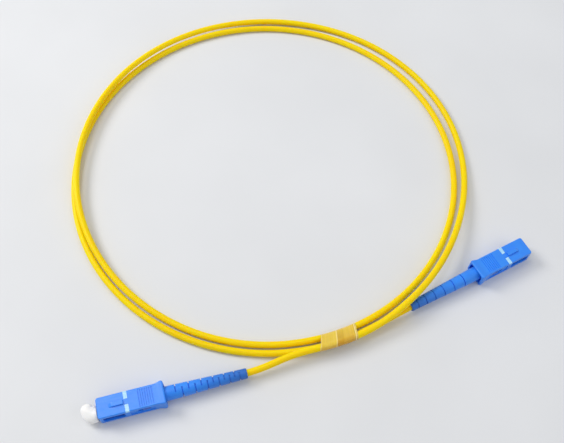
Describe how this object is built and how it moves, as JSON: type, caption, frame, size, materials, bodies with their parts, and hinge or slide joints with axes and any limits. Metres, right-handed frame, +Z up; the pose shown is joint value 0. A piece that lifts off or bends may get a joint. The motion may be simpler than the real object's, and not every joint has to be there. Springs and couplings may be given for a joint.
{
  "type": "fiber optic patch cord",
  "caption": "Simplex fibre patch cord coiled in a loop, with push-pull square plugs, slit strain-relief boots and a soft dust cap on one ferrule.",
  "frame": {"origin": "middle of the underside of plug A's outer housing, on the surface the cord lies on", "axes": "+X along plug A from its nose to its cable, +Z up out of the surface and to the key side, +Y to the coil's centre"},
  "size_m": [0.2121, 0.2046, 0.0096],
  "materials": {
    "housing_blue": "satin moulded plastic",
    "frame_blue": "satin moulded plastic",
    "zirconia": "polished ceramic",
    "flange_metal": "turned",
    "spring_steel": "drawn wire",
    "buffer_white": "extruded",
    "crimp_body_metal": "nickel plated",
    "crimp_ring_metal": "drawn tube",
    "yarn": "fibre bundle",
    "boot_blue": "moulded elastomer",
    "cap_white": "soft moulded",
    "jacket_yellow": "extruded jacket",
    "tape_clear": "clear adhesive tape"
  },
  "bodies": {
    "cord_and_plugs": {"plug_frame_a": "frame_blue", "plug_frame_b": "frame_blue", "crimp_body_a": "crimp_body_metal", "crimp_body_b": "crimp_body_metal", "crimp_ring_a": "crimp_ring_metal", "crimp_ring_b": "crimp_ring_metal", "yarn_tuft_a": "yarn", "yarn_tuft_b": "yarn", "boot_a": "boot_blue", "boot_b": "boot_blue", "jacket_tail_a": "jacket_yellow", "jacket_coil": "jacket_yellow", "jacket_tail_b": "jacket_yellow", "aramid_yarn": "yarn", "tight_buffer": "buffer_white", "binding_tape": "tape_clear"},
    "grip_a": {"outer_housing_a": "housing_blue"},
    "grip_b": {"outer_housing_b": "housing_blue"},
    "ferrule_set_a": {"ferrule_a": "zirconia", "ferrule_flange_a": "flange_metal", "fibre_stub_a": "buffer_white", "flange_spring_a": "spring_steel"},
    "ferrule_set_b": {"ferrule_b": "zirconia", "ferrule_flange_b": "flange_metal", "fibre_stub_b": "buffer_white", "flange_spring_b": "spring_steel"},
    "cap_a": {"dust_cap_a": "cap_white"}
  },
  "joints": [
    {"name": "unlatch_a", "type": "slide", "parent": "cord_and_plugs", "child": "grip_a", "axis": [1, 0, 0], "range_m": [0, 0.0022]},
    {"name": "unlatch_b", "type": "slide", "parent": "cord_and_plugs", "child": "grip_b", "axis": [-0.9744, -0.225, 0], "range_m": [0, 0.0022]},
    {"name": "ferrule_float_a", "type": "slide", "parent": "cord_and_plugs", "child": "ferrule_set_a", "axis": [1, 0, 0], "range_m": [0, 0.0015], "stiffness_N_per_m": 300, "deforming": ["flange_spring_a"]},
    {"name": "ferrule_float_b", "type": "slide", "parent": "cord_and_plugs", "child": "ferrule_set_b", "axis": [-0.9744, -0.225, 0], "range_m": [0, 0.0015], "stiffness_N_per_m": 300, "deforming": ["flange_spring_b"]},
    {"name": "cap_pull_a", "type": "slide", "parent": "cord_and_plugs", "child": "cap_a", "axis": [-1, 0, 0], "range_m": [0, 0.02]}
  ]
}
